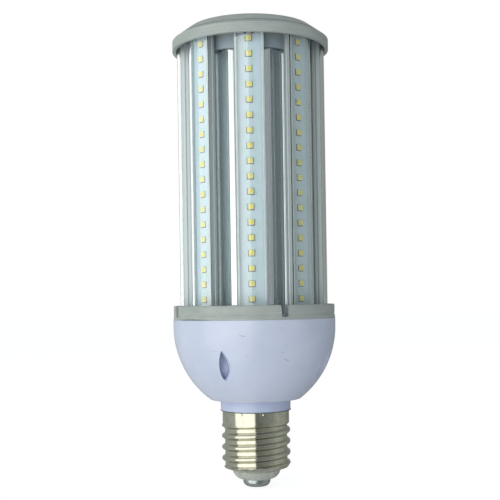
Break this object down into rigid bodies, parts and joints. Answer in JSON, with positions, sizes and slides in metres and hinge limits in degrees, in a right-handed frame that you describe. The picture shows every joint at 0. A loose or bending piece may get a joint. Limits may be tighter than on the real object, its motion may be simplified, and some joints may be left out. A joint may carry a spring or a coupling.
{
  "type": "corn led bulb",
  "caption": "Column-shaped LED lamp: rows of LEDs under clear covers round a finned core, vented white driver housing, flat cap and large screw base.",
  "frame": {"origin": "on the lamp's axis, at the upper edge of the screw shell, where the white housing begins", "axes": "+Z along the axis from the screw base to the cap; -Y out of the middle of the front LED column; X to the right when the front column is looked at"},
  "size_m": [0.093, 0.093, 0.2626],
  "materials": {
    "nickel_shell": "nickel plated, bright, worn",
    "contact_metal": "nickel plated, dull",
    "base_insulator": "light grey-green, matt, speckled",
    "housing_white": "white, glossy, lightly scuffed",
    "trim_grey": "grey, satin",
    "heat_sink": "extruded, satin, pale coating",
    "screw_steel": "zinc plated",
    "led_board": "white solder mask, satin",
    "led_phosphor": "yellow phosphor in a cream package",
    "clear_cover": "clear polycarbonate",
    "driver_board": "green laminate",
    "insulating_film": "dark violet-grey insulating film",
    "ferrite": "dark sintered ferrite",
    "winding_tape": "yellow film tape",
    "capacitor_sleeve": "shrunk sleeve",
    "choke_wire": "enamelled copper wire on a ferrite ring",
    "fuse_body": "ceramic-filled body",
    "varistor_coat": "blue epoxy dip",
    "film_capacitor": "moulded box",
    "black_package": "moulded epoxy",
    "live_wire": "insulated wire",
    "neutral_wire": "insulated wire",
    "plus_wire": "insulated wire",
    "minus_wire": "insulated wire",
    "jumper_wire": "insulated wire"
  },
  "bodies": {
    "root": {"centre_contact": "contact_metal", "base_insulator": "base_insulator", "screw_shell": "nickel_shell", "housing": "housing_white", "bottom_ring": "trim_grey", "heat_sink": "heat_sink", "top_cap": "trim_grey", "cap_screws": "screw_steel", "ring_screws": "screw_steel", "housing_screws": "screw_steel", "driver_screws": "screw_steel", "driver_board": "driver_board", "driver_sleeve": "insulating_film", "transformer_core": "ferrite", "transformer_winding": "winding_tape", "bulk_capacitors": "capacitor_sleeve", "choke": "choke_wire", "mains_fuse": "fuse_body", "varistor": "varistor_coat", "film_capacitor": "film_capacitor", "bridge_rectifier": "black_package", "power_switch": "black_package", "controller_chip": "black_package", "live_lead": "live_wire", "neutral_lead": "neutral_wire", "supply_lead_plus": "plus_wire", "supply_lead_minus": "minus_wire", "board_jumpers": "jumper_wire", "led_board_1": "led_board", "led_row_1": "led_phosphor", "clear_cover_1": "clear_cover", "led_board_2": "led_board", "led_row_2": "led_phosphor", "clear_cover_2": "clear_cover", "led_board_3": "led_board", "led_row_3": "led_phosphor", "clear_cover_3": "clear_cover", "led_board_4": "led_board", "led_row_4": "led_phosphor", "clear_cover_4": "clear_cover", "led_board_5": "led_board", "led_row_5": "led_phosphor", "clear_cover_5": "clear_cover", "led_board_6": "led_board", "led_row_6": "led_phosphor", "clear_cover_6": "clear_cover", "led_board_7": "led_board", "led_row_7": "led_phosphor", "clear_cover_7": "clear_cover", "led_board_8": "led_board", "led_row_8": "led_phosphor", "clear_cover_8": "clear_cover"}
  },
  "joints": []
}
